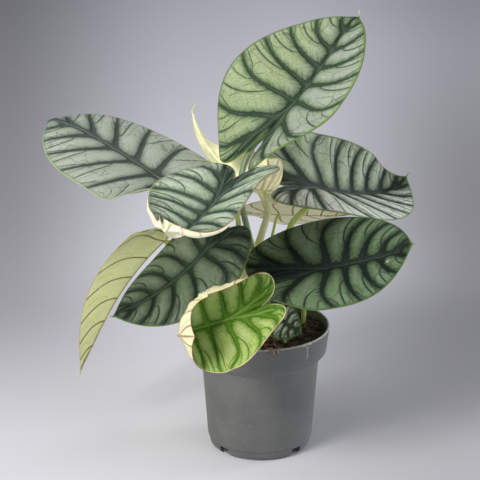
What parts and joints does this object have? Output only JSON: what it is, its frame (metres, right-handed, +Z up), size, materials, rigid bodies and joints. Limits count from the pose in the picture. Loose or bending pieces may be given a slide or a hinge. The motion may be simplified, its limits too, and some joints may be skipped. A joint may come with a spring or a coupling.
{
  "type": "potted plant",
  "caption": "Potted leafy houseplant with large shield-shaped silver-green leaves and dark veins on slender stems, in a round tapered nursery pot with a wide collar, free-standing.",
  "frame": {"origin": "centre of the pot's foot, on the surface it stands on", "axes": "+Z up along the pot's axis, -Y the front that the picture shows, +X to the right"},
  "size_m": [0.3237, 0.2763, 0.3624],
  "materials": {
    "pot_plastic": "moulded, slightly rough, grey",
    "soil": "dark crumbly potting soil",
    "blade_silver": "leathery leaf, silver grey-green with dark vein bands",
    "blade_silver_yellow": "leathery leaf, silver with yellow-green shading and dark vein bands",
    "blade_dark": "leathery leaf, dark green between darker vein bands",
    "blade_green": "fresh leaf, bright green with dark green vein bands",
    "blade_pale": "leaf underside, pale yellow-green with brownish veins",
    "blade_cream": "young leaf, cream underside with reddish veins",
    "stem_green": "smooth pale green leaf stalk",
    "stem_cream": "smooth cream leaf stalk"
  },
  "bodies": {
    "root": {"pot": "pot_plastic", "soil": "soil", "blade_crown": "blade_silver_yellow", "stem_crown": "stem_green", "blade_left": "blade_silver", "stem_left": "stem_green", "blade_centre": "blade_silver", "stem_centre": "stem_green", "blade_right_upper": "blade_silver", "stem_right_upper": "stem_green", "blade_right_lower": "blade_dark", "stem_right_lower": "stem_green", "blade_left_lower": "blade_dark", "stem_left_lower": "stem_green", "blade_hanging": "blade_pale", "stem_hanging": "stem_green", "blade_front": "blade_green", "stem_front": "stem_green", "blade_back": "blade_pale", "stem_back": "stem_green", "blade_young": "blade_cream", "stem_young": "stem_cream", "blade_small": "blade_dark", "stem_small": "stem_green"}
  },
  "joints": []
}
